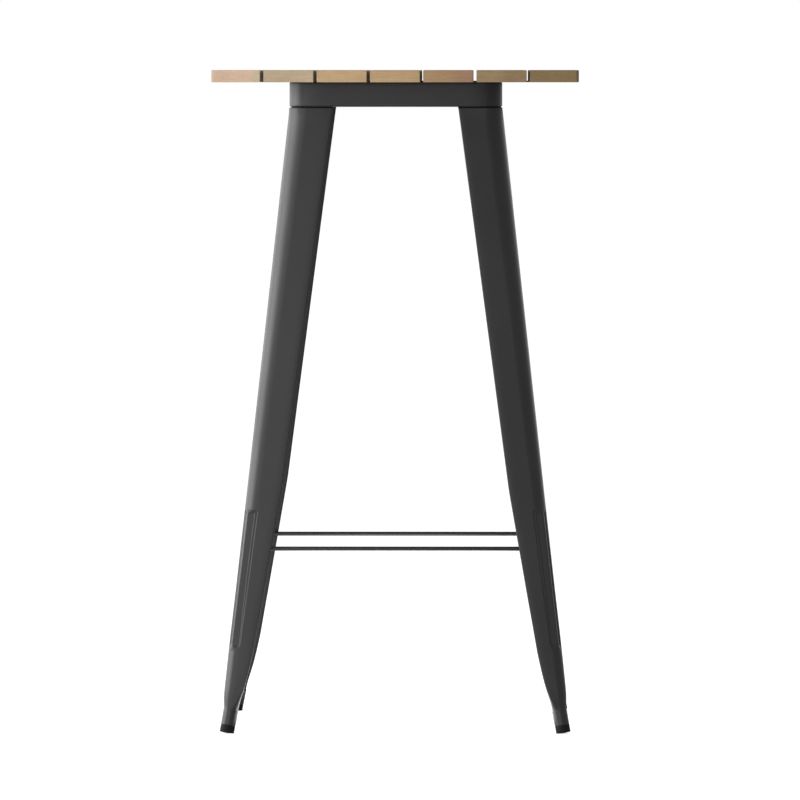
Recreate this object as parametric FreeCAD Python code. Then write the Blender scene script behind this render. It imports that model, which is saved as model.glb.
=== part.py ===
import FreeCAD, Part
import math
import os

# Bar table: a square top of seven slats on a pressed steel stand.
# Millimetres, +Z up. The origin is on the floor, under the centre of the top.
# The front is -Y, and the slats run from front to back.

# Height of the table
table_height = 1093.0

# Slats of the top
slat_count = 7
slat_width = 82.5
slat_gap = 5.0
slat_length = 604.0
slat_thickness = 20.0
slat_edge_radius = 1.5
# The two outer slats are trimmed, and the top's four upright corners are rounded
outer_slat_trim = 1.75
top_corner_radius = 5.0

# Battens: flat bars let into the undersides of the slats
batten_thickness = 2.0
batten_width = 36.0
batten_from_centre = 130.0
batten_end_cover = 10.0
batten_side_play = 0.3

# Countersunk wood screws that hold the slats to the battens, two at each crossing
slat_screw_spread = 24.0
slat_screw_radius = 2.0
slat_screw_length = 15.0
slat_screw_head_radius = 4.0
slat_screw_head_height = 1.9
slat_screw_play = 0.2
slat_screw_thread_play = 0.02

# Apron: one square ring of sheet, with a turned-in top flange and a rolled lower edge
apron_width = 353.4
apron_height = 41.0
apron_sheet = 1.5
apron_corner_radius = 33.0
apron_top_bend_radius = 2.5
apron_top_flange = 20.0
apron_roll_radius = 3.0
apron_roll_lip = 4.0

# Countersunk screws and nuts that hold the battens to the apron
batten_screw_radius = 2.5
batten_screw_length = 12.0
batten_screw_head_radius = 4.4
batten_screw_head_height = 1.9
batten_screw_play = 0.25
batten_screw_from_face = 10.0
batten_nut_flats = 8.0
batten_nut_height = 4.7

# Corner gussets welded inside the apron, and the bolts that hold the legs up to them
gusset_thickness = 3.0
gusset_drop = 12.0
gusset_side = 80.0
gusset_nose = 8.0
leg_bolt_radius = 4.0
leg_bolt_near = 18.0
leg_bolt_far = 36.0
leg_bolt_play = 0.4
leg_bolt_thread_play = 0.02
leg_bolt_tip = 1.5
leg_bolt_head_flats = 13.0
leg_bolt_head_height = 5.3
leg_nut_flats = 13.0
leg_nut_height = 6.5
leg_washer_radius = 8.0
leg_washer_thickness = 1.6

# Tab: the plate welded across the inside of each leg's neck, under its gusset
tab_thickness = 3.0
tab_reach = 60.0
tab_nose = 6.0

# Legs: pressed sheet angles. Widths are of one flange, measured level, at each station.
leg_sheet = 1.5
leg_splay = 0.1090
neck_play = 0.3
shoulder_seat_gap = 0.3
shoulder_drop = 1.8
shoulder_half_span = 177.0
shoulder_width = 73.3
shoulder_corner_radius = 29.0
edge_roll_radius = 5.5
knee_height = 400.0
knee_width = 58.5
knee_corner_radius = 19.7
calf_height = 134.0
calf_width = 41.5
calf_corner_radius = 15.5

# Pressed panel on the outer corner of each leg, with a stepped border
panel_below_knee = 28.0
panel_ramp_top = 6.0
panel_ramp_bottom = 5.0
panel_lip = 2.6
panel_ledge = 5.0
panel_step = 1.2
# How much the floor sinks towards the corner, as a share of its width
panel_slope_share = 0.1
# The floor's corner radius, as a share of the floor between the inner step and the corner
panel_corner_share = 0.36

# Foot: the leg's lower end is curled round and slips into a ferrule with a cap
foot_half_span = 277.9
foot_splay = 0.188
mouth_height = 38.0
mouth_curl_radius = 10.8
mouth_flat = 0.4
spigot_length = 10.0
ferrule_mouth_radius = 12.4
ferrule_lower_radius = 11.9
ferrule_wall = 1.0
ferrule_length = 23.2
cap_fillet = 0.5
cap_plug_length = 10.0
cap_plug_play = 0.1
cap_flat_depth = 0.5

# The ankle's shape between the calf and the ferrule's mouth:
# height, width and outward reach, as shares from the mouth (0) to the calf (1),
# and the reach as a share from the calf's half span (0) to the mouth's (1)
ankle_shares = (
    (1.00, 1.00, 0.00),
    (0.72, 0.84, 0.42),
    (0.46, 0.65, 0.80),
    (0.30, 0.48, 1.02),
    (0.15, 0.24, 1.07),
)
# How far the corner and the edge roll have grown to the mouth's curl at the same stations
ankle_curl_shares = (0.00, 0.06, 0.28, 0.58, 0.86)

# Stretchers: four round rods inside the legs
stretcher_height = 303.0
stretcher_radius = 3.4
stretcher_edge_gap = 0.3
stretcher_joint_gap = 0.3

# How far cutting tools run past the faces that they cut,
# and how close two places lie to count as one
overrun = 5.0
same_place = 0.001

# Levels and spans that follow from the sizes above
slat_underside = table_height - slat_thickness
batten_top = slat_underside + batten_thickness
apron_half = apron_width / 2
apron_bottom = slat_underside - apron_height
gusset_top = slat_underside - gusset_drop
gusset_bottom = gusset_top - gusset_thickness
tab_bottom = gusset_bottom - tab_thickness
shoulder_top = apron_bottom - shoulder_seat_gap
shoulder_height = shoulder_top - shoulder_drop
neck_half_span = apron_half - apron_roll_lip - neck_play
neck_width = shoulder_width - (shoulder_half_span - neck_half_span)
neck_corner_radius = apron_corner_radius - apron_roll_lip - neck_play
mouth_width = 2 * mouth_curl_radius + mouth_flat
panel_top_height = knee_height - panel_below_knee
panel_bottom_height = calf_height

CORNERS = ("front_left", "front_right", "back_right", "back_left")


def vec(x, y, z):
    return FreeCAD.Vector(x, y, z)


def between(low, high, share):
    return low + (high - low) * share


def rounded_square(half, radius, low, high):
    """A square prism about the Z axis with rounded upright corners."""
    block = Part.makeBox(2 * half, 2 * half, high - low, vec(-half, -half, low))
    uprights = []
    for edge in block.Edges:
        if abs(edge.Vertexes[0].Z - edge.Vertexes[1].Z) > (high - low) / 2:
            uprights.append(edge)
    return block.makeFillet(radius, uprights)


def edges_at(shape, height):
    """The edges of a shape that lie level at one height."""
    found = []
    for edge in shape.Edges:
        box = edge.BoundBox
        if abs(box.ZMin - height) < same_place and abs(box.ZMax - height) < same_place:
            found.append(edge)
    return found


def upright_rod(radius, x, y, low, high):
    return Part.makeCylinder(radius, high - low, vec(x, y, low))


def hexagon(flats, x, y, low, high):
    """An upright hexagonal prism, measured across its flats."""
    point_radius = flats / math.sqrt(3)
    ring = []
    for turn in range(7):
        angle = math.radians(60 * turn)
        ring.append(vec(x + point_radius * math.cos(angle), y + point_radius * math.sin(angle), low))
    face = Part.Face(Part.makePolygon(ring))
    return face.extrude(vec(0, 0, high - low))


def at_corner(shape, corner):
    """Turn a shape made at the front left corner to another corner."""
    turned = shape.copy()
    turned.rotate(vec(0, 0, 0), vec(0, 0, 1), 90 * CORNERS.index(corner))
    return turned


def at_all_corners(shapes):
    """One compound of shapes made at the front left corner, repeated at all four."""
    return Part.makeCompound([at_corner(shape, corner) for corner in CORNERS for shape in shapes])


# Top

def slat_centre(index):
    pitch = slat_width + slat_gap
    return (index - (slat_count - 1) / 2) * pitch


def top_half_width():
    return (slat_count * slat_width + (slat_count - 1) * slat_gap) / 2 - outer_slat_trim


def batten_half_length():
    return top_half_width() - batten_end_cover


def screw_places():
    """The x of each slat screw along a batten."""
    places = []
    for index in range(slat_count):
        for side in (-1, 1):
            places.append(slat_centre(index) + side * slat_screw_spread)
    return places


def upright_edges(shape, x):
    """The upright edges of a board that lie on one of its sides."""
    return [edge for edge in shape.Edges
            if abs(edge.Vertexes[0].Z - edge.Vertexes[1].Z) > same_place
            and abs(edge.CenterOfMass.x - x) < same_place]


def slat_board(index):
    """A plain board with eased edges. An outer board is trimmed, with two rounded corners."""
    left = slat_centre(index) - slat_width / 2
    right = left + slat_width
    sides = [left, right]
    if index == 0:
        left = left + outer_slat_trim
        sides = [right]
    if index == slat_count - 1:
        right = right - outer_slat_trim
        sides = [left]
    board = Part.makeBox(right - left, slat_length, slat_thickness,
                         vec(left, -slat_length / 2, slat_underside))
    for x in (left, right):
        if x not in sides:
            board = board.makeFillet(top_corner_radius, upright_edges(board, x))
    eased = edges_at(board, table_height) + edges_at(board, slat_underside)
    for x in sides:
        eased = eased + upright_edges(board, x)
    return board.makeFillet(slat_edge_radius, eased)


def slat(index):
    """One board, grooved below for the battens and drilled for its screws."""
    board = slat_board(index)
    groove_half_width = batten_width / 2 + batten_side_play
    groove_half_length = batten_half_length() + batten_side_play
    tools = []
    for side in (-1, 1):
        middle = side * batten_from_centre
        tools.append(Part.makeBox(2 * groove_half_length, 2 * groove_half_width,
                                  batten_thickness + overrun,
                                  vec(-groove_half_length, middle - groove_half_width,
                                      slat_underside - overrun)))
        for across in (-1, 1):
            tools.append(upright_rod(slat_screw_radius + slat_screw_thread_play,
                                     slat_centre(index) + across * slat_screw_spread, middle,
                                     slat_underside, slat_underside + slat_screw_length))
    return board.cut(tools)


def batten(side):
    """A flat bar across all the slats, with screw holes and countersunk holes over the apron."""
    half_length = batten_half_length()
    middle = side * batten_from_centre
    bar = Part.makeBox(2 * half_length, batten_width, batten_thickness,
                       vec(-half_length, middle - batten_width / 2, slat_underside))
    tools = []
    for x in screw_places():
        tools.append(upright_rod(slat_screw_radius + slat_screw_play, x, middle,
                                 slat_underside - overrun, batten_top + overrun))
        tools.append(screw_cone(x, middle))
    for x in batten_screw_places():
        tools.append(upright_rod(batten_screw_radius + batten_screw_play, x, middle,
                                 slat_underside - overrun, batten_top + overrun))
        tools.append(countersink(x, middle))
    return bar.cut(tools)


def screw_cone(x, y):
    """The cone that a slat screw's head fills, flush with the underside of the batten."""
    return Part.makeCone(slat_screw_head_radius, slat_screw_radius, slat_screw_head_height,
                         vec(x, y, slat_underside))


def slat_screws():
    """Countersunk screws, driven up through the battens into the slats."""
    screws = []
    for side in (-1, 1):
        middle = side * batten_from_centre
        for x in screw_places():
            shank = upright_rod(slat_screw_radius, x, middle,
                                slat_underside, slat_underside + slat_screw_length)
            screws.append(screw_cone(x, middle).fuse(shank))
    return Part.makeCompound(screws)


def batten_screw_places():
    reach = apron_half - batten_screw_from_face
    return (-reach, reach)


def countersink(x, y):
    """The cone that a countersunk head fills, flush with the top of the batten."""
    return Part.makeCone(batten_screw_radius, batten_screw_head_radius, batten_screw_head_height,
                         vec(x, y, batten_top - batten_screw_head_height))


def batten_screws():
    screws = []
    for side in (-1, 1):
        middle = side * batten_from_centre
        for x in batten_screw_places():
            shank = upright_rod(batten_screw_radius, x, middle,
                                batten_top - batten_screw_length, batten_top)
            screws.append(countersink(x, middle).fuse(shank))
    return Part.makeCompound(screws)


def batten_nuts():
    """Nuts under the apron's top flange, one on each countersunk screw."""
    high = slat_underside - apron_sheet
    low = high - batten_nut_height
    nuts = []
    for side in (-1, 1):
        middle = side * batten_from_centre
        for x in batten_screw_places():
            bore = upright_rod(batten_screw_radius + leg_bolt_thread_play, x, middle,
                               low - overrun, high + overrun)
            nuts.append(hexagon(batten_nut_flats, x, middle, low, high).cut(bore))
    return Part.makeCompound(nuts)


# Apron

def apron():
    """A pressed ring: bent top flange, upright wall and a lower edge rolled inwards."""
    skin = rounded_square(apron_half, apron_corner_radius, apron_bottom, slat_underside)
    skin = skin.makeFillet(apron_top_bend_radius, edges_at(skin, slat_underside))
    skin = skin.makeFillet(apron_roll_radius, edges_at(skin, apron_bottom))
    inner_low = apron_bottom + apron_sheet
    inner_high = slat_underside - apron_sheet
    hollow = rounded_square(apron_half - apron_sheet, apron_corner_radius - apron_sheet,
                            inner_low, inner_high)
    hollow = hollow.makeFillet(apron_top_bend_radius - apron_sheet, edges_at(hollow, inner_high))
    hollow = hollow.makeFillet(apron_roll_radius - apron_sheet, edges_at(hollow, inner_low))
    top_opening = rounded_square(apron_half - apron_top_flange,
                                 apron_corner_radius - apron_top_flange,
                                 slat_underside - overrun, slat_underside + overrun)
    low_opening = rounded_square(apron_half - apron_roll_lip, apron_corner_radius - apron_roll_lip,
                                 apron_bottom - overrun, apron_bottom + overrun)
    tools = [hollow, top_opening, low_opening]
    for side in (-1, 1):
        for x in batten_screw_places():
            tools.append(upright_rod(batten_screw_radius + batten_screw_play,
                                     x, side * batten_from_centre,
                                     slat_underside - overrun, slat_underside + overrun))
    return skin.cut(tools)


def leg_bolt_points():
    """The two bolt centres in the front left corner, either side of its diagonal."""
    near = leg_bolt_near - neck_half_span
    far = leg_bolt_far - neck_half_span
    return ((near, far), (far, near))


def corner_gusset():
    """A plate with a blunt long side, welded to both walls of the apron's corner."""
    wall = apron_half - apron_sheet
    end = gusset_side - wall
    nose = gusset_nose - wall
    outline = Part.makePolygon([
        vec(-wall, -wall, gusset_bottom), vec(end, -wall, gusset_bottom),
        vec(end, nose, gusset_bottom), vec(nose, end, gusset_bottom),
        vec(-wall, end, gusset_bottom), vec(-wall, -wall, gusset_bottom)])
    plate = Part.Face(outline).extrude(vec(0, 0, gusset_thickness))
    ring = rounded_square(wall, apron_corner_radius - apron_sheet,
                          gusset_bottom - overrun, gusset_top + overrun)
    plate = plate.common(ring)
    holes = [upright_rod(leg_bolt_radius + leg_bolt_play, x, y,
                         gusset_bottom - overrun, gusset_top + overrun)
             for x, y in leg_bolt_points()]
    return plate.cut(holes)


def leg_nut(x, y):
    bore = upright_rod(leg_bolt_radius + leg_bolt_thread_play, x, y,
                       gusset_top - overrun, gusset_top + leg_nut_height + overrun)
    return hexagon(leg_nut_flats, x, y, gusset_top, gusset_top + leg_nut_height).cut(bore)


def leg_washer(x, y):
    bore = upright_rod(leg_bolt_radius + leg_bolt_play, x, y,
                       tab_bottom - leg_washer_thickness - overrun, tab_bottom + overrun)
    disc = upright_rod(leg_washer_radius, x, y, tab_bottom - leg_washer_thickness, tab_bottom)
    return disc.cut(bore)


def leg_bolt(x, y):
    """A hexagon head bolt from below, through washer, tab, gusset and nut."""
    seat = tab_bottom - leg_washer_thickness
    head = hexagon(leg_bolt_head_flats, x, y, seat - leg_bolt_head_height, seat)
    shank = upright_rod(leg_bolt_radius, x, y, seat, gusset_top + leg_nut_height + leg_bolt_tip)
    return head.fuse(shank)


# Legs, made at the front left corner.
# In a leg's section, u runs right and v runs back from the sharp corner of its outer faces.

def half_span(height):
    """How far the outer faces of the legs stand from the middle, between shoulder and calf."""
    return shoulder_half_span + leg_splay * (shoulder_height - height)


def leg_width(height):
    if height >= knee_height:
        share = (height - knee_height) / (shoulder_height - knee_height)
        return between(knee_width, shoulder_width, share)
    share = (height - calf_height) / (knee_height - calf_height)
    return between(calf_width, knee_width, share)


def corner_radius(height):
    if height >= knee_height:
        share = (height - knee_height) / (shoulder_height - knee_height)
        return between(knee_corner_radius, shoulder_corner_radius, share)
    share = (height - calf_height) / (knee_height - calf_height)
    return between(calf_corner_radius, knee_corner_radius, share)


def level_plane(span, height):
    """Turn section places (u, v) into points of a level plane."""
    def place(u, v):
        return vec(u - span, v - span, height)
    return place


def foot_axis():
    """The foot's axis, pointing up and in."""
    return vec(foot_splay, foot_splay, 1).normalize()


def foot_centre(height):
    reach = foot_half_span - foot_splay * height
    return vec(-reach, -reach, height)


def mouth_plane():
    """Turn section places (u, v) into points of the plane square to the foot's axis."""
    tilt = FreeCAD.Rotation(vec(0, 0, 1), foot_axis())
    middle = mouth_width / 2

    def place(u, v):
        return foot_centre(mouth_height) + tilt.multVec(vec(u - middle, v - middle, 0))
    return place


def polar(centre_u, centre_v, radius, degrees):
    angle = math.radians(degrees)
    return (centre_u + radius * math.cos(angle), centre_v + radius * math.sin(angle))


def swap(points):
    """Mirror places in the corner's diagonal and reverse their order."""
    return [(v, u) for u, v in reversed(points)]


def line(place, start, end):
    return Part.makeLine(place(*start), place(*end))


def arc(place, start, middle, end):
    return Part.Arc(place(*start), place(*middle), place(*end)).toShape()


def skin_edges(place, width, radius, roll, depth):
    """One skin of a plain section, from roll end to roll end, at a depth into the sheet."""
    roll_end = (width - depth, roll)
    roll_middle = polar(width - roll, roll, roll - depth, -45)
    roll_start = (width - roll, depth)
    bend = (radius, depth)
    bend_middle = polar(radius, radius, radius - depth, 225)
    half = [roll_end, roll_middle, roll_start, bend]
    other = swap(half)
    return [
        arc(place, half[0], half[1], half[2]),
        line(place, half[2], half[3]),
        arc(place, bend, bend_middle, other[0]),
        line(place, other[0], other[1]),
        arc(place, other[1], other[2], other[3]),
    ]


def sheet_wire(outer, inner, place, width, roll):
    """Close an outer and an inner skin at the two edges of the sheet."""
    near_end = line(place, (width - leg_sheet, roll), (width, roll))
    far_end = line(place, (roll, width), (roll, width - leg_sheet))
    return Part.Wire(Part.__sortEdges__(outer + [far_end] + inner + [near_end]))


def plain_section(place, width, radius, roll):
    outer = skin_edges(place, width, radius, roll, 0)
    inner = skin_edges(place, width, radius, roll, leg_sheet)
    return sheet_wire(outer, inner, place, width, roll)


def border(height):
    """Where the outer step starts, just past the leg's round corner."""
    return corner_radius(height) + panel_lip


def panel_radius(height):
    """The tight corner radius of the panel's floor."""
    floor_width = border(height) - panel_ledge - 3 * panel_step
    return floor_width * panel_corner_share


def floor_start(height):
    """Where the floor starts, at the foot of the inner step."""
    return border(height) - panel_ledge - panel_step


def slope_length():
    return math.hypot(1, panel_slope_share)


def panel_centre(height):
    """How far the centre of that corner lies from each outer face: its arc touches the floor."""
    reach = (panel_radius(height) * slope_length() + 2 * panel_step
             + panel_slope_share * floor_start(height))
    return reach / (1 + panel_slope_share)


def floor_touch(height, depth):
    """Where the floor of a skin meets the arc of its corner."""
    centre = panel_centre(height)
    radius = panel_radius(height) - depth
    return (centre - radius * panel_slope_share / slope_length(), centre - radius / slope_length())


def panel_places(height, depth):
    """Half of a stepped skin: two 45 degree steps down to a floor with a tight corner."""
    edge = border(height)
    ledge = edge - panel_ledge
    shift = depth * math.tan(math.radians(22.5))
    return [
        (edge + shift, depth),
        (edge - panel_step + shift, panel_step + depth),
        (ledge + shift, panel_step + depth),
        (floor_start(height) + shift, 2 * panel_step + depth),
        floor_touch(height, depth),
    ]


def plain_places(height, depth):
    """The places on a plain skin that the steps of the panel grow from."""
    radius = corner_radius(height)
    edge = border(height)
    ledge = edge - panel_ledge
    shift = depth * math.tan(math.radians(22.5))
    places = [(edge + shift, depth), (radius, depth)]
    for u in (ledge, floor_start(height), floor_touch(height, 0)[0]):
        angle = 270 - math.degrees(math.asin((radius - u) / radius))
        places.append(polar(radius, radius, radius - depth, angle))
    return places


def arc_middle(radius, depth, start, end):
    """The middle of the corner's arc between two places on it."""
    u = (start[0] + end[0]) / 2 - radius
    v = (start[1] + end[1]) / 2 - radius
    stretch = (radius - depth) / math.hypot(u, v)
    return (radius + u * stretch, radius + v * stretch)


def stepped_skin(place, height, depth, pressed):
    """One skin of a section in the panel's range, pressed or still plain."""
    width = leg_width(height)
    radius = corner_radius(height)
    roll = edge_roll_radius
    places = panel_places(height, depth) if pressed else plain_places(height, depth)
    roll_end = (width - depth, roll)
    roll_middle = polar(width - roll, roll, roll - depth, -45)
    roll_start = (width - roll, depth)
    spans = [(roll_end, roll_middle, roll_start), (roll_start, None, places[0]),
             (places[0], None, places[1])]
    for start, end in zip(places[1:-1], places[2:]):
        middle = None if pressed else arc_middle(radius, depth, start, end)
        spans.append((start, middle, end))
    tight = panel_centre(height) if pressed else radius
    bend = panel_radius(height) - depth if pressed else radius - depth
    nose = (places[-1], polar(tight, tight, bend, 225), places[-1][::-1])
    mirrored = [(end[::-1], middle and middle[::-1], start[::-1])
                for start, middle, end in reversed(spans)]
    edges = []
    for start, middle, end in spans + [nose] + mirrored:
        if middle is None:
            edges.append(line(place, start, end))
        else:
            edges.append(arc(place, start, middle, end))
    return edges


def stepped_section(height, pressed):
    place = level_plane(half_span(height), height)
    outer = stepped_skin(place, height, 0, pressed)
    inner = stepped_skin(place, height, leg_sheet, pressed)
    return sheet_wire(outer, inner, place, leg_width(height), edge_roll_radius)


def straight_section(height):
    return plain_section(level_plane(half_span(height), height),
                         leg_width(height), corner_radius(height), edge_roll_radius)


def neck_section(height):
    return plain_section(level_plane(neck_half_span, height),
                         neck_width, neck_corner_radius, edge_roll_radius)


def ankle_section(shares, curl_share):
    """A section of the ankle, part way from the calf to the round mouth."""
    height_share, width_share, reach_share = shares
    height = between(mouth_height, calf_height, height_share)
    width = between(mouth_width, calf_width, width_share)
    mouth_span = foot_half_span - foot_splay * mouth_height + mouth_width / 2
    span = between(half_span(calf_height), mouth_span, reach_share)
    share_of_width = calf_corner_radius / calf_width
    radius = between(width * share_of_width, mouth_curl_radius, curl_share)
    roll = between(edge_roll_radius, mouth_curl_radius, curl_share)
    return plain_section(level_plane(span, height), width, radius, roll)


def leg():
    """Neck, shoulder and shin, then the pressed panel, then the ankle and its spigot."""
    upper = Part.makeLoft([
        neck_section(gusset_bottom), neck_section(shoulder_top),
        straight_section(shoulder_height), straight_section(knee_height),
        straight_section(panel_top_height)], True, True)
    panel = Part.makeLoft([
        stepped_section(panel_top_height, False),
        stepped_section(panel_top_height - panel_ramp_top, True),
        stepped_section(panel_bottom_height + panel_ramp_bottom, True),
        stepped_section(panel_bottom_height, False)], True, True)
    mouth = plain_section(mouth_plane(), mouth_width, mouth_curl_radius, mouth_curl_radius)
    stations = [ankle_section(shares, curl)
                for shares, curl in zip(ankle_shares, ankle_curl_shares)]
    ankle = Part.makeLoft(stations + [mouth], True, False)
    spigot = Part.Face(mouth).extrude(foot_axis() * -spigot_length)
    return upper.fuse([panel, ankle, spigot])


def leg_tab():
    """The plate in the neck that the bolts pull up against the gusset."""
    place = level_plane(neck_half_span, tab_bottom)
    near = leg_sheet
    radius = neck_corner_radius
    half = [(tab_reach, near + tab_nose), (tab_reach, near), (radius, near)]
    other = swap(half)
    bend = polar(radius, radius, radius - leg_sheet, 225)
    edges = [line(place, half[0], half[1]), line(place, half[1], half[2]),
             arc(place, half[2], bend, other[0]), line(place, other[0], other[1]),
             line(place, other[1], other[2]), line(place, other[2], half[0])]
    plate = Part.Face(Part.Wire(edges)).extrude(vec(0, 0, tab_thickness))
    holes = [upright_rod(leg_bolt_radius + leg_bolt_play, x, y,
                         tab_bottom - overrun, gusset_bottom + overrun)
             for x, y in leg_bolt_points()]
    return plate.cut(holes)


# Feet, made at the front left corner

def along_foot(distance):
    """A point on the foot's axis, a distance down from the ferrule's mouth."""
    return foot_centre(mouth_height) - foot_axis() * distance


def ferrule():
    """A tapering tube round the leg's curled end."""
    down = foot_axis() * -1
    outside = Part.makeCone(ferrule_mouth_radius, ferrule_lower_radius, ferrule_length,
                            along_foot(0), down)
    inside = Part.makeCone(ferrule_mouth_radius - ferrule_wall, ferrule_lower_radius - ferrule_wall,
                           ferrule_length, along_foot(0), down)
    return outside.cut(inside)


def cap_bottom_distance():
    """Distance down the axis to the cap's end face, whose low edge is trimmed on the floor."""
    lean = math.acos(foot_axis().z)
    drop = (ferrule_lower_radius - cap_fillet) * math.sin(lean) + cap_fillet * (1 - math.cos(lean))
    end_height = drop - cap_flat_depth
    return (mouth_height - end_height) / foot_axis().z


def foot_cap():
    """A moulded plug with a rounded end, trimmed flat where it stands."""
    down = foot_axis() * -1
    length = cap_bottom_distance() - ferrule_length
    body = Part.makeCylinder(ferrule_lower_radius, length, along_foot(ferrule_length), down)
    end = along_foot(cap_bottom_distance())
    rim = [edge for edge in body.Edges
           if edge.Closed and (edge.CenterOfMass - end).Length < same_place]
    body = body.makeFillet(cap_fillet, rim)
    plug = Part.makeCylinder(ferrule_lower_radius - ferrule_wall - cap_plug_play, cap_plug_length,
                             along_foot(ferrule_length - cap_plug_length), down)
    size = 4 * ferrule_mouth_radius
    centre = foot_centre(0)
    floor = Part.makeBox(size, size, size, vec(centre.x - size / 2, centre.y - size / 2, -size))
    return body.fuse(plug).cut(floor)


# Stretchers

def stretcher_line():
    """Distance of each rod's axis from the middle: just inside the rolled edges of the legs."""
    return half_span(stretcher_height) - edge_roll_radius - stretcher_edge_gap - stretcher_radius


def bend_inside(height):
    """How far the inside of the panel's corner lies from each outer face, on the diagonal."""
    bend = panel_radius(height) - leg_sheet
    return panel_centre(height) - bend * math.cos(math.radians(45))


def cross_stretcher():
    """The front rod, run in both front legs as far as the inside of their corners."""
    reach = half_span(stretcher_height) - bend_inside(stretcher_height) - stretcher_joint_gap
    return Part.makeCylinder(stretcher_radius, 2 * reach,
                             vec(-reach, -stretcher_line(), stretcher_height), vec(1, 0, 0))


def side_stretcher():
    """The left rod, butted between the front and back rods."""
    reach = stretcher_line() - stretcher_radius - stretcher_joint_gap
    return Part.makeCylinder(stretcher_radius, 2 * reach,
                             vec(-stretcher_line(), -reach, stretcher_height), vec(0, 1, 0))


def half_turn(shape):
    turned = shape.copy()
    turned.rotate(vec(0, 0, 0), vec(0, 0, 1), 180)
    return turned


def build():
    nodes = {}
    for index in range(slat_count):
        nodes["slat_%d" % (index + 1)] = slat(index)
    nodes["batten_front"] = batten(-1)
    nodes["batten_back"] = batten(1)
    nodes["slat_screws"] = slat_screws()
    nodes["batten_screws"] = batten_screws()
    nodes["batten_nuts"] = batten_nuts()
    nodes["apron"] = apron()
    points = leg_bolt_points()
    nodes["leg_nuts"] = at_all_corners([leg_nut(x, y) for x, y in points])
    nodes["leg_bolts"] = at_all_corners([leg_bolt(x, y) for x, y in points])
    nodes["leg_washers"] = at_all_corners([leg_washer(x, y) for x, y in points])
    pieces = {"corner_gusset": corner_gusset(), "leg": leg(), "leg_tab": leg_tab(),
              "ferrule": ferrule(), "foot_cap": foot_cap()}
    for name, shape in pieces.items():
        for corner in CORNERS:
            nodes["%s_%s" % (name, corner)] = at_corner(shape, corner)
    nodes["stretcher_front"] = cross_stretcher()
    nodes["stretcher_back"] = half_turn(cross_stretcher())
    nodes["stretcher_left"] = side_stretcher()
    nodes["stretcher_right"] = half_turn(side_stretcher())
    return nodes


os.makedirs("parts", exist_ok=True)
for node_name, node_shape in build().items():
    node_shape.exportStep("parts/%s.step" % node_name)
    print(node_name, len(node_shape.Solids), "solids, volume", round(node_shape.Volume))
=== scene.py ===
# %% [markdown]
# # A slatted bar table on a pressed steel stand
# The construction model comes first and stays fixed. This lesson gives it its finishes,
# replaces the curved steel pieces by fine surfaces worked out with numpy, and sets up
# a plain studio. Lengths in the tables are millimetres; Blender's are metres.

# %% Load the construction model
import math
import bmesh
import bpy
import numpy as np
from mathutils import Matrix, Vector


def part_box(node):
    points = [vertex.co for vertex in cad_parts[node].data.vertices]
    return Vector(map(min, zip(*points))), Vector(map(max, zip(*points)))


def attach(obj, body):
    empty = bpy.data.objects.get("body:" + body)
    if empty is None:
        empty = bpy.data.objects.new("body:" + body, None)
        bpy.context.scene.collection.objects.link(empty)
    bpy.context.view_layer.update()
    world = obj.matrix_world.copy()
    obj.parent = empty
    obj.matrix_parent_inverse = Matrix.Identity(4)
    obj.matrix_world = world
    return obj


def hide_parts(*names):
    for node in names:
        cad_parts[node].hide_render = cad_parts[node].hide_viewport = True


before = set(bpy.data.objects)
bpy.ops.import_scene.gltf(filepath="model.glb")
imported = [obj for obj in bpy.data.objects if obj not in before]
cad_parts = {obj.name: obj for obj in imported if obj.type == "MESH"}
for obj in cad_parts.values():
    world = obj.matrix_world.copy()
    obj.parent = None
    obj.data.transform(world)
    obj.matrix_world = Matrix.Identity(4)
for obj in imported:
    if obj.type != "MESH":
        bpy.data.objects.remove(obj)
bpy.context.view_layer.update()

MM = 0.001
print("pieces in the construction model:", len(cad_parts))

# %% [markdown]
# ## From arrays to a piece
# Each new piece is a grid of points: one row for each station along it, one column for
# each place around it. A formula fills such a grid at once, which a modifier stack can't
# do for a shape that changes all the way down. One helper joins the grid with four-sided
# faces, and another puts points and faces into a mesh, merges the points that meet at a
# pole, and turns every face outwards.

# %% Grids and meshes
merge_within, vanish_below = 1e-6, 1e-7


def grid_faces(rows, columns, start=0, close_rows=False):
    """Quads of a grid that closes round its columns: place (i, j) is point
    start + i * columns + j, and each quad joins it to j + 1 and i + 1."""
    i, j = np.meshgrid(np.arange(rows if close_rows else rows - 1), np.arange(columns),
                       indexing="ij")
    k, m = (i + 1) % rows, (j + 1) % columns
    quads = np.stack([i * columns + j, i * columns + m, k * columns + m, k * columns + j], -1)
    return start + quads.reshape(-1, 4)


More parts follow.
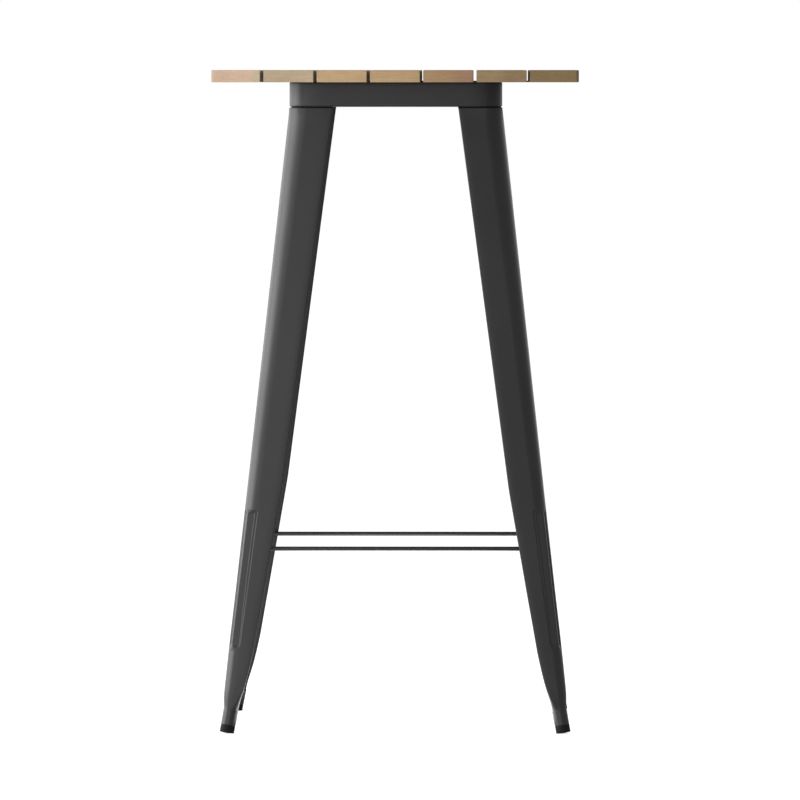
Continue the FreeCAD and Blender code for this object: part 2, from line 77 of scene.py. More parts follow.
def make_piece(name, points, quads, material, nodes, sharp=40):
    """Points in millimetres and quads become a closed, smooth-shaded piece."""
    mesh = bpy.data.meshes.new(name)
    mesh.vertices.add(len(points))
    mesh.vertices.foreach_set("co", (points * MM).astype(np.float32).ravel())
    mesh.loops.add(quads.size)
    mesh.loops.foreach_set("vertex_index", quads.astype(np.int32).ravel())
    mesh.polygons.add(len(quads))
    mesh.polygons.foreach_set("loop_start", np.arange(0, quads.size, 4, dtype=np.int32))
    mesh.update(calc_edges=True)
    shell = bmesh.new()
    shell.from_mesh(mesh)
    bmesh.ops.remove_doubles(shell, verts=shell.verts, dist=merge_within)
    bmesh.ops.dissolve_degenerate(shell, edges=shell.edges, dist=vanish_below)
    bmesh.ops.recalc_face_normals(shell, faces=shell.faces)
    open_edges = sum(1 for edge in shell.edges if not edge.is_manifold)
    shell.to_mesh(mesh)
    shell.free()
    mesh.polygons.foreach_set("use_smooth", np.ones(len(mesh.polygons), dtype=bool))
    mesh.set_sharp_from_angle(angle=math.radians(sharp))
    mesh.materials.append(material)
    piece = bpy.data.objects.new(name, mesh)
    bpy.context.scene.collection.objects.link(piece)
    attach(piece, "root")
    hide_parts(*nodes)
    print(name, len(mesh.polygons), "faces,", open_edges, "open edges")
    return piece


def quarter_turns(points):
    """The same points at each corner of the square: (x, y, z) goes to (-y, x, z)."""
    turned = [points]
    for _ in range(3):
        last = turned[-1]
        turned.append(np.stack([-last[:, 1], last[:, 0], last[:, 2]], -1))
    return turned


# %% [markdown]
# ## A few words for building node materials
# A finish is a small network of nodes. These helpers add a node, set its sockets and
# link it, so that each finish below reads as a short recipe.

# %% Node helpers
class Finish:
    """A new material, its node tree, and its Principled shader."""

    def __init__(self, name):
        self.material = bpy.data.materials.new(name)
        self.material.use_nodes = True
        self.nodes = self.material.node_tree.nodes
        self.links = self.material.node_tree.links
        self.shader = self.nodes["Principled BSDF"]

    def add(self, kind, settings=None, **sockets):
        """A new node, with its settings and its input sockets filled."""
        node = self.nodes.new(kind)
        for key, value in (settings or {}).items():
            setattr(node, key, value)
        for key, value in sockets.items():
            self.put(node.inputs[key.replace("_", " ")], value)
        return node

    def put(self, socket, value):
        """Link another socket to this one, or set its value."""
        if isinstance(value, bpy.types.NodeSocket):
            self.links.new(value, socket)
        else:
            socket.default_value = value

    def place(self, scale=(1, 1, 1), shift=(0, 0, 0)):
        """Object coordinates, scaled and then shifted."""
        coordinates = self.add("ShaderNodeTexCoord")
        return self.add("ShaderNodeMapping", Vector=coordinates.outputs["Object"],
                        Location=shift, Scale=scale).outputs["Vector"]

    def noise(self, where, scale, detail=2.0, rough=0.5):
        """Noise at these coordinates, a value round one half."""
        return self.add("ShaderNodeTexNoise", Vector=where, Scale=scale, Detail=detail,
                        Roughness=rough).outputs["Fac"]

    def spread(self, value, low, high, to_low=0.0, to_high=1.0):
        """Map a value from one range to another, clamped."""
        return self.add("ShaderNodeMapRange", Value=value, From_Min=low, From_Max=high,
                        To_Min=to_low, To_Max=to_high).outputs["Result"]

    def sum(self, first, second, how="ADD"):
        """The two values added, or joined by another rule of the Math node."""
        node = self.add("ShaderNodeMath", {"operation": how})
        self.put(node.inputs[0], first)
        self.put(node.inputs[1], second)
        return node.outputs[0]

    def weigh(self, *pairs):
        """The sum of several values, each times its weight."""
        total = None
        for value, weight in pairs:
            part = self.sum(value, weight, "MULTIPLY")
            total = part if total is None else self.sum(total, part)
        return total

    def mix(self, share, first, second, how="MIX"):
        """first where share is 0 and second where it is 1. Colours have three numbers."""
        node = self.add("ShaderNodeMix", {"data_type": "RGBA", "blend_type": how})
        for key, value in (("Factor", share), ("A", first), ("B", second)):
            self.put(node.inputs[key], (*value, 1.0) if isinstance(value, tuple) else value)
        return node.outputs["Result"]

    def tint(self, share, colour, tone):
        """The colour times a tone, as far as share says."""
        return self.mix(share, colour, self.mix(1.0, colour, tone, "MULTIPLY"))

    def bump(self, height, distance, strength):
        """Tilt the normal by the slope of a height."""
        node = self.add("ShaderNodeBump", Height=height, Distance=distance, Strength=strength)
        self.put(self.shader.inputs["Normal"], node.outputs["Normal"])

    def done(self):
        print(self.material.name, "has", len(self.nodes), "nodes")
        return self.material


# %% [markdown]
# ## The charcoal coat on the steel
# The stand is sheet steel with a baked powder coat: a dark neutral grey, a satin sheen,
# and the fine wavy skin that powder leaves when it melts. A flat grey would look like
# plastic, so low, slow noise shifts the roughness a little, as handling does, and fine
# noise gives the skin.

# %% Powder coat
def powder_coat(name, grey, rough):
    """Colour = grey times 0.86 to 1.14, and roughness = rough - 0.05 to rough + 0.06."""
    finish = Finish(name)
    where = finish.place()
    slow = finish.noise(where, 7.0, 3.0)
    fine = finish.noise(where, 900.0, 1.0)
    grain = finish.noise(where, 2600.0, 2.0)
    dark, light = (tuple(share * value for value in grey) for share in (0.86, 1.14))
    tone = finish.sum(finish.spread(slow, 0.3, 0.7, 0.0, 0.7),
                      finish.spread(grain, 0.3, 0.7, 0.0, 0.3))
    finish.put(finish.shader.inputs["Base Color"], finish.mix(tone, dark, light))
    finish.put(finish.shader.inputs["Roughness"],
               finish.spread(finish.weigh((slow, 1.0), (grain, 0.3)),
                             0.4, 0.9, rough - 0.05, rough + 0.06))
    finish.shader.inputs["Specular IOR Level"].default_value = 0.27
    finish.bump(finish.weigh((fine, 1.0), (grain, 0.25)), 0.00006, 0.5)
    return finish.done()


steel_coat = powder_coat("charcoal_coat", (0.0187, 0.0181, 0.0191), 0.42)

# %% [markdown]
# ## Zinc on the screws, bolts, nuts and washers
# Bright zinc is a metal with a faintly cloudy, brushed look. A picture could show the
# clouds, but it would have to be fitted to many small pieces, and noise in space needs no
# fitting. One noise moves both the colour and the roughness, so that the two agree.

# %% Zinc
def zinc_plating():
    """A metal whose colour and roughness follow one cloudy noise."""
    finish = Finish("zinc_plating")
    where = finish.place()
    cloud = finish.noise(where, 220.0, 4.0, 0.6)
    finish.shader.inputs["Metallic"].default_value = 1.0
    finish.put(finish.shader.inputs["Base Color"],
               finish.mix(finish.spread(cloud, 0.35, 0.65), (0.42, 0.43, 0.44), (0.62, 0.63, 0.63)))
    finish.put(finish.shader.inputs["Roughness"], finish.spread(cloud, 0.3, 0.7, 0.24, 0.42))
    finish.bump(finish.noise(where, 1800.0, 2.0), 0.00003, 0.4)
    return finish.done()


zinc = zinc_plating()

# %% [markdown]
# ## The moulded foot caps
# The caps are a black moulded plastic, matt, with a fine eroded texture and a little
# dust near the floor, which lifts the grey towards the lower edge. The dust could be
# painted on by hand, but a ramp over the lowest 8 mm times noise puts it on all four caps
# at once.

# %% Moulded black
def moulded_black():
    """Matt black, with dust = ramp(z) times noise."""
    finish = Finish("moulded_black")
    where = finish.place()
    fine = finish.noise(where, 1500.0, 3.0, 0.6)
    height = finish.add("ShaderNodeSeparateXYZ", Vector=where).outputs["Z"]
    dust = finish.sum(finish.spread(height, 0.0, 0.008, 0.5, 0.0),
                      finish.noise(where, 160.0, 3.0), "MULTIPLY")
    finish.put(finish.shader.inputs["Base Color"],
               finish.mix(dust, (0.005, 0.005, 0.0053), (0.018, 0.0175, 0.0165)))
    finish.put(finish.shader.inputs["Roughness"], finish.spread(fine, 0.3, 0.7, 0.62, 0.8))
    finish.shader.inputs["Specular IOR Level"].default_value = 0.15
    finish.bump(fine, 0.00008, 0.5)
    return finish.done()


foot_black = moulded_black()

# %% [markdown]
# ## Wood for the slats
# Each slat is one board. A picture of wood on each face would break off at the edges, so
# the figure is a solid texture that runs through the board: growth rings round the pith
# of a tree, far below the board and along its length. On the top they show as long lines,
# and on the sawn ends as shallow arcs. Fibres are noise that is stretched along the board,
# and pores are small dark dashes of the same kind. Flat streaks lie across the sawn ends,
# and a slow drift makes a board a little darker here and there. Across some boards the
# tone changes, as sapwood beside heartwood does. Each board came from another tree, so
# each has its own tone, its own pith and its own noise.

# %% Slat wood
# end_tone is the sawn ends' own tone. The side tone is painted shade: it darkens and greys
# the faces that look along X, the long sides and rounded outer ends of the boards.
end_tone, side_painted_shade = (0.98, 0.95, 0.92), (0.64, 0.66, 0.7)


def slat_wood(number, light, dark, pith, sap):
    """Solid wood along Y. Colour = light + figure (dark - light), with figure the weighted
    sum of five patterns. pith is the (x, z) of the rings' centre; sap says between which x
    the tone changes, and to what share of itself."""
    finish = Finish("slat_wood_%d" % number)
    stretched = finish.place((1.0, 0.06, 1.0), (0.7 * number, 0.0, 0.3 * number))
    swirl = finish.add("ShaderNodeTexNoise", Vector=stretched, Scale=30.0, Detail=3.0)
    offset = finish.add("ShaderNodeVectorMath", {"operation": "SCALE"}, Scale=0.006)
    finish.put(offset.inputs[0], swirl.outputs["Color"])
    moved = finish.add("ShaderNodeVectorMath", {"operation": "ADD"})
    finish.put(moved.inputs[0], finish.place(shift=(-pith[0], 3.1 * number, -pith[1])))
    finish.put(moved.inputs[1], offset.outputs["Vector"])
    rings = finish.add("ShaderNodeTexWave",
                       {"wave_type": "RINGS", "rings_direction": "Y", "wave_profile": "SAW"},
                       Vector=moved.outputs["Vector"], Scale=105.0 + 6.0 * (number % 3),
                       Distortion=0.8, Detail=2.0).outputs["Fac"]
    patch = finish.spread(finish.noise(stretched, 26.0, 3.0, 0.5), 0.3, 0.7)
    along = finish.place((420.0, 7.0, 420.0), (5.0 * number, 0, 0))
    fibre = finish.noise(along, 1.0, 3.0, 0.6)
    pore = finish.spread(finish.noise(along, 2.3, 1.0), 0.62, 0.74)
    flat = finish.place((26.0, 3.0, 330.0), (1.7 * number, 0.4 * number, 9.0 * number))
    streak = finish.spread(finish.noise(flat, 1.0, 2.5, 0.55), 0.34, 0.66)
    broad = finish.place((14.0, 1.2, 5.0), (2.3 * number, 0, 0))
    drift = finish.spread(finish.noise(broad, 1.0, 1.0), 0.35, 0.65)
    figure = finish.weigh((rings, 0.25), (finish.spread(fibre, 0.3, 0.7), 0.22), (patch, 0.13),
                          (streak, 0.25), (drift, 0.15))
    colour = finish.mix(figure, light, dark)
    deep = tuple(0.45 * value for value in dark)
    colour = finish.mix(finish.sum(pore, 0.5, "MULTIPLY"), colour, deep)
    # The mask of faces that look along Y gives the sawn ends their own tone. The mask of faces
    # that look along X carries painted shade on the sides and the rounded outer ends.
    normal = finish.add("ShaderNodeNewGeometry").outputs["Normal"]
    facing = finish.add("ShaderNodeSeparateXYZ", Vector=normal)
    end, side = (finish.spread(finish.sum(facing.outputs[axis], 0.0, "ABSOLUTE"), low, high)
                 for axis, low, high in (("Y", 0.6, 0.95), ("X", 0.1, 0.6)))
    across = finish.add("ShaderNodeSeparateXYZ", Vector=finish.place()).outputs["X"]
    changed = finish.spread(across, sap[0], sap[1])
    for share, tone in ((end, end_tone), (side, side_painted_shade), (changed, sap[2])):
        colour = finish.tint(share, colour, tone)
    finish.put(finish.shader.inputs["Base Color"], colour)
    finish.put(finish.shader.inputs["Roughness"],
               finish.spread(finish.sum(fibre, pore), 0.3, 1.2, 0.52, 0.7))
    finish.shader.inputs["Specular IOR Level"].default_value = 0.2
    finish.bump(finish.weigh((fibre, 0.6), (pore, -0.8), (rings, 0.25)), 0.00018, 0.55)
    return finish.done()


# %% [markdown]
# The seven boards go from a pale pinkish one on the left to a dark olive one on the right.
# Each has a light and a dark tone for its figure. They keep their construction mesh,
# because a planed board with eased edges is exactly that, and only get the wood.

# %% Dress the slats
slat_tones = (
    ((0.762, 0.572, 0.429), (0.519, 0.363, 0.253)),
    ((0.592, 0.481, 0.334), (0.378, 0.293, 0.188)),
    ((0.62, 0.453, 0.271), (0.407, 0.274, 0.146)),
    ((0.556, 0.395, 0.229), (0.374, 0.251, 0.134)),
    ((0.462, 0.304, 0.161), (0.281, 0.184, 0.099)),
    ((0.389, 0.279, 0.158), (0.232, 0.163, 0.086)),
    ((0.272, 0.187, 0.091), (0.16, 0.114, 0.053)),
)
# where across each slat the tone changes, as shares of its width, and to what
slat_saps = (
    (0.8, 0.87, (0.86, 1.0, 0.93)),
    (0.0, 1.0, (1.0, 1.0, 1.0)),
    (0.7, 0.95, (0.92, 0.91, 0.9)),
    (0.85, 0.95, (0.91, 0.98, 0.89)),
    (0.5, 0.72, (0.85, 0.78, 0.89)),
    (0.35, 0.6, (0.86, 0.84, 0.82)),
    (0.0, 1.0, (1.0, 1.0, 1.0)),
)
pith_depth, pith_wander = 0.24, 0.05
for number, ((light, dark), (start, stop, tone)) in enumerate(zip(slat_tones, slat_saps)):
    board = "slat_%d" % (number + 1)
    low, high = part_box(board)
    width = high[0] - low[0]
    pith = ((low[0] + high[0]) / 2 + pith_wander * math.sin(2.1 * number),
            low[2] - pith_depth + pith_wander * math.cos(1.7 * number))
    sap = (low[0] + start * width, low[0] + stop * width, tone)
    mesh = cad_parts[board].data
    mesh.materials.clear()
    mesh.materials.append(slat_wood(number + 1, light, dark, pith, sap))
    print(board, "is", round(width / MM, 2), "mm wide")

# %% [markdown]
# ## Flat steel pieces
# The battens, the gussets and the tabs are flat plates whose shape is already right, so
# they keep their construction mesh and only get the coat.

# %% Coat the plates
corners = ("front_left", "front_right", "back_right", "back_left")
plates = ["batten_front", "batten_back"] + [kind + corner for corner in corners
                                            for kind in ("corner_gusset_", "leg_tab_")]
for name in plates:
    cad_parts[name].data.materials.clear()
    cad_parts[name].data.materials.append(steel_coat)
print("coated plates:", len(plates))

# %% [markdown]
# ## The apron ring
# The apron is one strip of sheet, folded in at the top and rolled in at the lower edge,
# bent round a square with large corners. A curve with a bevel object could carry the
# section round it. Here arrays do that, because the path follows a formula, and because
# both skins and both edges then are one closed surface. The section comes first.

# %% Section of the apron
def arc_points(centre, radius, start, end, count):
    """Points centre + radius (cos a, sin a), with a from start to end in degrees."""
    angles = np.radians(np.linspace(start, end, count))
    return np.stack([centre[0] + radius * np.cos(angles),
                     centre[1] + radius * np.sin(angles)], -1)


sheet = 1.5
apron_low, apron_high = 1032.0, 1073.0
fold, roll, lip, flange_end = 2.5, 3.0, 4.0, 20.0
# each point is a depth behind the outer face and a height
apron_section = np.concatenate([
    [(flange_end, apron_high - 0.3), (flange_end - 0.3, apron_high)],
    arc_points((fold, apron_high - fold), fold, 90, 180, 8),
    [(0.0, apron_high - 8.0), (0.0, apron_low + 9.0)],
    arc_points((roll, apron_low + roll), roll, 180, 270, 10),
    arc_points((lip, apron_low + sheet / 2), sheet / 2, -90, 90, 7),
    arc_points((roll, apron_low + roll), roll - sheet, 270, 180, 6),
    arc_points((fold, apron_high - fold), fold - sheet, 180, 90, 5),
    [(flange_end - 0.3, apron_high - sheet), (flange_end, apron_high - sheet + 0.3)],
])
print("points round the apron's section:", len(apron_section))

# %% [markdown]
# The path starts on the right side, turns through a corner, and is then repeated by
# quarter turns. The turn a of its outward direction N grows as the square of the distance
# over the last 36 mm of each side, up to 6 degrees, and an arc of radius R does the rest.
# The second tail is the first one with x and y exchanged. A section point at depth d from
# the outer face lies at P - d N, where P runs along that path.

# %% Carry it round the square
apron_half, apron_bend = 176.7, 32.0
tail_turn, tail_reach = math.radians(6.0), 36.0
share = np.linspace(0, 1, 10)
bend_centre = apron_half - tail_turn * tail_reach / 3 - apron_bend * math.cos(tail_turn)
tail_path = np.stack([
    apron_half - tail_turn * tail_reach * share ** 3 / 3,
    bend_centre + apron_bend * math.sin(tail_turn) - tail_reach * (1 - share)], -1)
tail_turns = tail_turn * share ** 2
bend_turns = np.linspace(tail_turn, math.pi / 2 - tail_turn, 21)[1:-1]
bend_path = bend_centre + apron_bend * np.stack([np.cos(bend_turns), np.sin(bend_turns)], -1)
corner_path = np.concatenate([tail_path, bend_path, tail_path[::-1, ::-1]])
corner_turns = np.concatenate([tail_turns, bend_turns, math.pi / 2 - tail_turns[::-1]])
quarters = np.radians([0, 90, 180, 270])
path = np.concatenate([corner_path @ np.array([[math.cos(a), math.sin(a)],
                                               [-math.sin(a), math.cos(a)]]) for a in quarters])
turns = (corner_turns[None] + quarters[:, None]).ravel()
outward = np.stack([np.cos(turns), np.sin(turns)], -1)
ring = path[None] - apron_section[:, 0][:, None, None] * outward[None]
level = np.broadcast_to(apron_section[:, 1][:, None, None], ring.shape[:2] + (1,))
make_piece("apron_ring", np.concatenate([ring, level], -1).reshape(-1, 3),
           grid_faces(len(apron_section), len(turns), close_rows=True),
           steel_coat, ["apron"])

# %% [markdown]
# ## The pressed legs
# Each leg is one angle of sheet with a rounded corner and a rounded edge on both flanges.
# Its width, reach, corner and edge change down the leg, so they are given at stations
# and read between them. Below the knee a panel is pressed into the corner in two steps,
# and at the foot the sheet curls into a round tube.
# A level section is worked out as a function of the place along the sheet, and the panel
# is a depth field on the developed leg: how far the sheet is pressed in at each place.
# That keeps the steps crisp, where a subdivided cage would need loops along each of them.

# %% Stations down the leg
# height, flange width, half span of the outer faces, corner radius, edge radius, bow
stations = np.array([
    (20.0, 22.0, 285.14, 10.8, 10.8, 0.0),
    (38.0, 22.0, 281.76, 10.8, 10.8, 0.0),
    (52.4, 26.7, 282.45, 13.3, 6.0, 0.0),
    (66.8, 31.4, 282.25, 15.4, 3.0, 0.0),
    (82.2, 34.7, 280.75, 16.4, 2.2, 0.2),
    (107.1, 38.4, 278.25, 15.6, 2.2, 0.8),
    (134.0, 41.5, 275.45, 15.5, 2.0, 1.0),
    (175.0, 44.1, 270.90, 16.2, 1.8, 1.0),
    (230.0, 47.6, 264.50, 17.0, 1.8, 1.0),
    (400.0, 58.5, 245.66, 19.7, 1.8, 1.0),
    (1012.0, 72.88, 178.95, 28.74, 1.8, 1.0),
    (1029.9, 73.3, 177.0, 29.0, 1.8, 0.0),
    (1031.7, 69.2, 172.4, 28.7, 1.8, 0.0),
    (1058.0, 69.2, 172.4, 28.7, 1.8, 0.0),
])
WIDTH, SPAN, CORNER, EDGE, BOW = range(1, 6)
crisp_above, soft_reach = 1000.0, 8.0


def at_height(height, column):
    """A station value at each height: straight between stations, then averaged over
    16 mm, so that the bends at the knee and the ankle are soft. The shoulder stays crisp."""
    reach = np.where(height > crisp_above, 0.0, soft_reach)[:, None] * np.linspace(-1, 1, 9)
    return np.interp(height[:, None] + reach, stations[:, 0], stations[:, column]).mean(1)


# rings are close together at the shoulder and at both ends of the panel
heights = np.concatenate([
    [1058.0, 1048.0, 1036.0, 1032.2, 1031.7, 1031.3, 1030.8, 1030.3, 1029.9, 1029.4, 1026.0],
    [1018.0], np.arange(1005.0, 409.0, -25.0), np.arange(405.0, 380.0, -4.0),
    np.arange(379.0, 356.0, -0.6), np.arange(352.0, 168.0, -9.0), np.arange(164.0, 130.0, -0.6),
    np.arange(128.0, 39.0, -3.0), [38.0]])
print("rings down a leg:", len(heights))

# %% [markdown]
# The panel's outline is a rounded rectangle on the sheet: q is the distance from the
# outer step line towards the corner, and h the distance from the panel's end. A smooth
# step turns the distance from that outline into depth, steep at the sides and gentler
# at the ends, and the inner outline does it again past a narrow ledge.

# %% Depth of the panel
panel_lip, floor_slope = 2.6, 0.052
ledge_heights = (133.0, 160.0, 200.0, 260.0, 340.0, 372.0)
ledge_widths = (1.2, 1.9, 3.2, 4.3, 4.8, 4.8)
outer_depth, inner_depth = 1.5, 1.2
press_depth = outer_depth + inner_depth
outer_step, inner_step, end_step = 1.9, 1.5, 4.4
# height of each end, the way into the panel, its corner radius, and the gap between steps
panel_ends = ((369.0, -1, 6.5, 3.2), (136.0, 1, 13.0, 4.6))


def smooth_step(value):
    """3 x^2 - 2 x^3 between 0 and 1, and flat beyond."""
    value = np.clip(value, 0, 1)
    return value * value * (3 - 2 * value)


def rounded_step(q, h, radius, side_step, end_step):
    """0 outside a rounded outline and 1 inside it, across a step of the given widths."""
    near_q, near_h = np.maximum(radius - q, 0), np.maximum(radius - h, 0)
    in_corner = (near_q > 0) & (near_h > 0)
    away = np.hypot(near_q, near_h)
    inside = np.where(in_corner, radius - away, np.minimum(q, h))
    share = np.where(in_corner, near_q / np.maximum(away, 1e-9), (q < h).astype(float))
    width = np.hypot(side_step * share, end_step * np.sqrt(np.maximum(1 - share ** 2, 0)))
    return smooth_step(inside / width)


def panel_depth(q, height):
    """How deep the sheet is pressed at each place, in millimetres: each step counts where
    it is inside both ends, so the two ends' values are added and 1 is taken off."""
    ledge = np.interp(height, ledge_heights, ledge_widths)
    steps = -1
    for end, way, radius, gap in panel_ends:
        h = way * (height - end)
        outer = rounded_step(q, h, radius, outer_step, end_step)
        inner = rounded_step(q - ledge, h - gap, 0.7 * radius, inner_step, end_step)
        steps = steps + np.stack([outer, inner])
    outer, inner = np.clip(steps, 0, 1)
    return outer_depth * outer + inner_depth * inner


print("deepest press", panel_depth(np.array(20.0), np.array(250.0)).round(2), "mm")

# %% [markdown]
# The flanges are bowed a little: between corner and edge each one comes forward at a
# slope of 0.048, and from 15 to 2 mm before the edge it turns back. The rise g of that bow
# at a place u is taken off v, and the rise at v is taken off u. Pressed sheet is seldom
# quite flat, and such a bow draws the long soft shades that a flat flange lacks.

# %% The bow of the flanges
bow_slope, bow_back, bow_reach = 0.048, 0.06, (15.0, 2.0)


def bowed(place, width, bow):
    """How far a flange has come forward at a place u, in millimetres."""
    start, end = width - bow_reach[0], width - bow_reach[1]
    past = np.clip(place - start, 0, end - start)
    back = past ** 2 / (2 * (end - start)) + np.maximum(place - end, 0)
    return bow * (bow_slope * place - (bow_slope + bow_back) * back)


def bowed_top(width, bow):
    """The highest value of that rise, where its slope is nought."""
    turning = bow_slope / (bow_slope + bow_back) * (bow_reach[0] - bow_reach[1])
    return bowed(width - bow_reach[0] + turning, width, bow)


print("a flange comes forward by", round(float(bowed_top(58.5, 1.0)), 2), "mm at the knee")

# %% [markdown]
# Along the sheet a place is one of five stretches: the rolled edge, the flange, a finely
# divided zone across the steps, the start of the corner, and the nose of the corner up to
# the diagonal. As the sheet is pressed in, the corner's radius r shrinks from the leg's own
# to the panel's tight one, and the floor tilts by a slope s from the inner step on. The
# corner's arc touches the floor V = D + s (U - u) and its mirror image, so its centre lies
# at (r sqrt(1 + s^2) + D + s U) / (1 + s) from both outer faces.

# %% One skin of the leg
tight_share, tight_less = 0.32, 3.0


def leg_skin(height, inset):
    """Half of a section at each height, from the rolled edge to the diagonal, (u, v)."""
    full, corner, roll, bow = (at_height(height, column)[:, None]
                               for column in (WIDTH, CORNER, EDGE, BOW))
    rise = bowed_top(full, bow)
    width = full - rise
    step_line = corner + panel_lip
    brink = step_line - np.interp(height, ledge_heights, ledge_widths)[:, None] - inner_step

    def bend(depth):
        """Radius, slope and centre of the corner at a pressed depth."""
        pressed = depth / press_depth
        radius = corner + (tight_share * corner - tight_less - corner) * pressed
        slope = floor_slope * pressed
        centre = (radius * np.sqrt(1 + slope ** 2) + depth + slope * brink) / (1 + slope)
        return radius, slope, centre

    # the rolled edge, an arc
    angle = np.radians(np.linspace(0, -90, 9))[None]
    rolled = np.stack([width - roll + (roll - inset) * np.cos(angle),
                       roll + (roll - inset) * np.sin(angle)], -1)
    # the flange, the zone of the steps and the start of the corner, with u as the place
    radius, slope, centre = bend(press_depth)
    nose = centre - radius * slope / np.sqrt(1 + slope ** 2)
    zone_start = corner + np.minimum(4.5, 0.3 * (width - roll - corner))
    zone_end = corner - 5.0
    flange = np.linspace(0, 1, 13)[None, 1:-1]
    zone, inner = np.linspace(0, 1, 30)[None], np.linspace(0, 1, 7)[None, 1:]
    u = np.concatenate([(width - roll) + (zone_start - width + roll) * flange,
                        zone_start + (zone_end - zone_start) * zone,
                        zone_end + (nose - zone_end) * inner], -1)
    depth = panel_depth(step_line - u, height[:, None])
    radius, slope, centre = bend(depth)
    slope = np.where(u < brink, slope, 0)
    stretch = np.sqrt(1 + slope ** 2)
    on_arc = u < centre - radius * slope / stretch
    sine = np.clip((centre - u) / radius, 0, 1)
    bent_u = np.where(on_arc, centre - (radius - inset) * sine, u + inset * slope / stretch)
    bent_v = np.where(on_arc, centre - (radius - inset) * np.sqrt(1 - sine ** 2),
                      depth + slope * (brink - u) + inset / stretch)
    # the nose, an arc up to the diagonal
    share = np.linspace(0, 1, 11)[None, 1:]
    q = step_line - nose + share * (nose - 0.3 * corner)
    radius, slope, centre = bend(panel_depth(q, height[:, None]))
    first = np.arcsin(np.clip((centre - nose) / radius, 0, 1))
    sweep = first + (math.pi / 4 - first) * share
    tip = np.stack([centre - (radius - inset) * np.sin(sweep),
                    centre - (radius - inset) * np.cos(sweep)], -1)
    half = np.concatenate([rolled, np.stack([bent_u, bent_v], -1), tip], 1)
    return np.stack([half[..., 0] + rise - bowed(half[..., 1], full, bow),
                     half[..., 1] + rise - bowed(half[..., 0], full, bow)], -1)


print("places along half a skin:", leg_skin(heights[:1], 0.0).shape[1])

# %% [markdown]
# The closed section is the outer skin, a rounded cut edge, the inner skin one sheet
# thickness further in, and the other cut edge. The other half of each skin is the first
# one with u and v exchanged.

# %% The whole section
def leg_outline(height):
    """The closed section at each height, and how many places its outer skin has."""
    skins = []
    for inset in (0.0, sheet):
        half = leg_skin(height, inset)
        skins.append(np.concatenate([half, half[:, -2::-1, ::-1]], 1))
    outer, inner = skins[0], skins[1][:, ::-1]
    ends = outer[:, 0], inner[:, -1]
    middle, along = (ends[0] + ends[1])[:, None] / 2, (ends[0] - ends[1])[:, None] / 2
    across = np.stack([-along[..., 1], along[..., 0]], -1)
    angle = np.radians(np.array([30.0, 60.0, 90.0, 120.0, 150.0]))[None, :, None]
    cut = middle - along * np.cos(angle) + across * np.sin(angle)
    return np.concatenate([outer, cut[:, ::-1, ::-1], inner, cut], 1), outer.shape[1]


outline, skin_count = leg_outline(heights)
print("places round a leg:", outline.shape[1])

# %% [markdown]
# Each section is level, apart from the last few above the foot. They tilt until they
# stand square to the foot's own line, which leans out by 0.188, and two more rings go
# straight down that line into the ferrule.

# %% From sections to legs
lean = 0.188
tilt_start, tilt_run = 60.0, 22.0
spigot_depths = np.array([4.0, 10.0])
span = at_height(heights, SPAN)[:, None]
middle = (at_height(heights, WIDTH) / 2)[:, None]
tilt = smooth_step((tilt_start - heights) / tilt_run)[:, None]
fall = lean * tilt * ((outline[..., 0] - middle) + (outline[..., 1] - middle))
leg_rings = np.stack([outline[..., 0] - span, outline[..., 1] - span,
                      heights[:, None] - fall], -1)
foot_axis = np.array([lean, lean, 1.0]) / math.sqrt(1 + 2 * lean ** 2)
leg_rings = np.concatenate([leg_rings,
                            leg_rings[-1:] - foot_axis * spigot_depths[:, None, None]])
around = leg_rings.shape[1]


def end_cap(ring, skin, total):
    """Close one end of the leg: quads between the outer and the inner skin."""
    cut = (total - 2 * skin) // 2
    outer = np.arange(skin - 1)
    inner = 2 * skin + cut - 1 - outer
    quads = [np.stack([outer, outer + 1, inner - 1, inner], -1)]
    first = np.concatenate([[total - cut - 1], np.arange(total - cut, total), [0]])
    second = np.concatenate([[skin - 1], np.arange(skin, skin + cut), [skin + cut]])
    for chain in (first, second):
        half = len(chain) // 2
        low, high = chain[:half], chain[::-1][:half]
        quads.append(np.stack([low[:-1], low[1:], high[1:], high[:-1]], -1))
        quads.append(np.array([[low[-1], chain[half], high[-1], high[-1]]]))
    return np.concatenate(quads) + ring * total


leg_faces = np.concatenate([grid_faces(len(leg_rings), around),
                            end_cap(0, skin_count, around),
                            end_cap(len(leg_rings) - 1, skin_count, around)])
for corner, points in zip(corners, quarter_turns(leg_rings.reshape(-1, 3))):
    make_piece("pressed_leg_" + corner, points, leg_faces, steel_coat,
               ["leg_" + corner], sharp=50)

# %% [markdown]
# ## Turned pieces
# The ferrules, the caps, the rods, the washers and the round parts of the fasteners are
# profiles spun about a line. A Screw modifier would spin them too, but a grid of points is
# easy to repeat at the four corners and to trim at the floor. A profile point (r, t) goes
# to base + t axis + r direction.

# %% Spin a profile
def turned(profile, base, axis, around=64):
    """Grid points base + t axis + r (cos a side + sin a other), one row for each profile
    point (r, t) and one column for each angle a."""
    axis = np.asarray(axis, float) / np.linalg.norm(axis)
    side = np.cross(axis, (0.0, 1.0, 0.0) if abs(axis[1]) < 0.9 else (1.0, 0.0, 0.0))
    side /= np.linalg.norm(side)
    other = np.cross(axis, side)
    angle = np.linspace(0, 2 * math.pi, around, endpoint=False)
    ring = np.cos(angle)[:, None] * side + np.sin(angle)[:, None] * other
    profile = np.asarray(profile, float)
    return (np.asarray(base) + profile[:, 1, None, None] * axis
            + profile[:, 0, None, None] * ring[None])


# %% [markdown]
# The ferrule is a short steel tube with rolled rims that takes the leg's curled end. Its
# profile goes round the upper rim, down the outside, round the lower rim and back inside.

